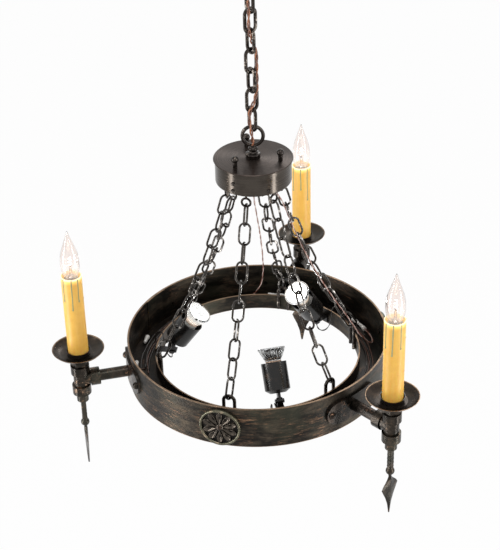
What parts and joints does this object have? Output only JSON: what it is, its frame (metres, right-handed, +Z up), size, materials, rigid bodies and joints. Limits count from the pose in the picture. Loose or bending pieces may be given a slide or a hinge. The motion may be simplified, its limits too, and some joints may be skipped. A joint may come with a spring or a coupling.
{
  "type": "chandelier",
  "caption": "Chain-hung ring chandelier: dark metal band with a wire channel, riveted rosettes, candle arms with spear drops, and adjustable spotlights inside the ring.",
  "frame": {"origin": "centre of the crossbar's upper face, on the ceiling plane and on the fixture's vertical axis", "axes": "+Z up to the ceiling, +X to the viewer's right and +Y away from the viewer in the reference view"},
  "size_m": [0.6576, 0.6655, 1.0013],
  "materials": {
    "dark_bronze": "satin, brushed with copper-brown on the edges",
    "hub_bronze": "satin with fine circular brushing",
    "chain_bronze": "satin with bare worn spots",
    "black_paint": "semi-gloss",
    "iron_fittings": "dark, rough cast",
    "zinc_steel": "zinc plated",
    "lamp_brass": "plain",
    "amber_sleeve": "resin candle with drips",
    "clear_bulb": "clear, lit",
    "lamp_glass": "faceted reflector glass",
    "socket_ceramic": "white",
    "socket_plastic": "plain",
    "brown_cord": "twisted pair",
    "pale_lead": "pale pink and red-brown pair",
    "black_lead": "plain",
    "white_nut": "plain"
  },
  "bodies": {
    "ceiling_mount": {"ceiling_crossbar": "zinc_steel", "ceiling_canopy": "hub_bronze", "canopy_nipple": "lamp_brass", "canopy_locknut": "zinc_steel", "canopy_loop": "hub_bronze"},
    "top_link": {"top_chain_link": "chain_bronze"},
    "main_chain": {"main_chain_links": "chain_bronze", "supply_cord": "brown_cord"},
    "chandelier": {"hub_loop": "hub_bronze", "hub_nipple": "lamp_brass", "hub_nuts": "zinc_steel", "hub_lid": "hub_bronze", "hub_cup": "hub_bronze", "hub_screws": "hub_bronze", "hub_chain_eyes": "chain_bronze", "hub_lead": "brown_cord", "chain_right": "chain_bronze", "chain_back": "chain_bronze", "chain_back_left": "chain_bronze", "chain_left": "chain_bronze", "chain_front": "chain_bronze", "chain_front_right": "chain_bronze", "outer_hoop": "dark_bronze", "inner_hoop": "dark_bronze", "channel_floor": "dark_bronze", "chain_staples": "dark_bronze", "rosettes": "dark_bronze", "ring_rivets": "dark_bronze", "arm_back_plates": "dark_bronze", "arm_pipes": "dark_bronze", "arm_locknuts": "zinc_steel", "arm_tees": "iron_fittings", "tee_top_bushings": "iron_fittings", "tee_bottom_bushings": "iron_fittings", "finials": "iron_fittings", "drip_pans": "black_paint", "candle_cups": "black_paint", "candle_nipples": "lamp_brass", "candle_sockets": "socket_plastic", "candle_sleeves": "amber_sleeve", "candle_bulbs": "clear_bulb", "spot_brackets": "dark_bronze", "channel_wires": "black_lead", "wire_nuts": "white_nut", "feed_cord_right": "pale_lead", "feed_cord_back": "pale_lead", "arm_leads": "black_lead", "spot_leads": "black_lead"},
    "spot_front_fork": {"spot_front_swivel": "black_paint"},
    "spot_front_head": {"spot_front_housing": "black_paint", "spot_front_socket": "socket_ceramic", "spot_front_lamp": "lamp_glass"},
    "spot_left_fork": {"spot_left_swivel": "black_paint"},
    "spot_left_head": {"spot_left_housing": "black_paint", "spot_left_socket": "socket_ceramic", "spot_left_lamp": "lamp_glass"},
    "spot_right_fork": {"spot_right_swivel": "black_paint"},
    "spot_right_head": {"spot_right_housing": "black_paint", "spot_right_socket": "socket_ceramic", "spot_right_lamp": "lamp_glass"}
  },
  "joints": [
    {"name": "canopy_swing", "type": "hinge", "parent": "ceiling_mount", "child": "top_link", "pos_m": [0, 0, -0.08775], "axis": [0.848, 0.5299, 0], "range_deg": [-25, 25], "deforming": ["supply_cord"]},
    {"name": "link_swing", "type": "hinge", "parent": "top_link", "child": "main_chain", "pos_m": [0, 0, -0.1238], "axis": [0.5299, -0.848, 0], "range_deg": [-25, 25], "deforming": ["supply_cord"]},
    {"name": "hub_swing", "type": "hinge", "parent": "main_chain", "child": "chandelier", "pos_m": [0, 0, -0.33435], "axis": [1, 0, 0], "range_deg": [-25, 25], "deforming": ["supply_cord"]},
    {"name": "spot_front_turn", "type": "hinge", "parent": "chandelier", "child": "spot_front_fork", "pos_m": [0.03754, -0.16262, -0.80624], "axis": [0, 0, 1], "range_deg": [-45, 45]},
    {"name": "spot_front_tilt", "type": "hinge", "parent": "spot_front_fork", "child": "spot_front_head", "pos_m": [0.03754, -0.16262, -0.80624], "axis": [0.9744, 0.225, 0], "range_deg": [-44, 36]},
    {"name": "spot_left_turn", "type": "hinge", "parent": "chandelier", "child": "spot_left_fork", "pos_m": [-0.16466, 0.02726, -0.80624], "axis": [0, 0, 1], "range_deg": [-30, 45]},
    {"name": "spot_left_tilt", "type": "hinge", "parent": "spot_left_fork", "child": "spot_left_head", "pos_m": [-0.16466, 0.02726, -0.80624], "axis": [-0.1633, -0.9866, 0], "range_deg": [-44, 36]},
    {"name": "spot_right_turn", "type": "hinge", "parent": "chandelier", "child": "spot_right_fork", "pos_m": [0.1174, 0.11863, -0.80624], "axis": [0, 0, 1], "range_deg": [-45, 45]},
    {"name": "spot_right_tilt", "type": "hinge", "parent": "spot_right_fork", "child": "spot_right_head", "pos_m": [0.1174, 0.11863, -0.80624], "axis": [-0.7108, 0.7034, 0], "range_deg": [-44, 36]}
  ]
}
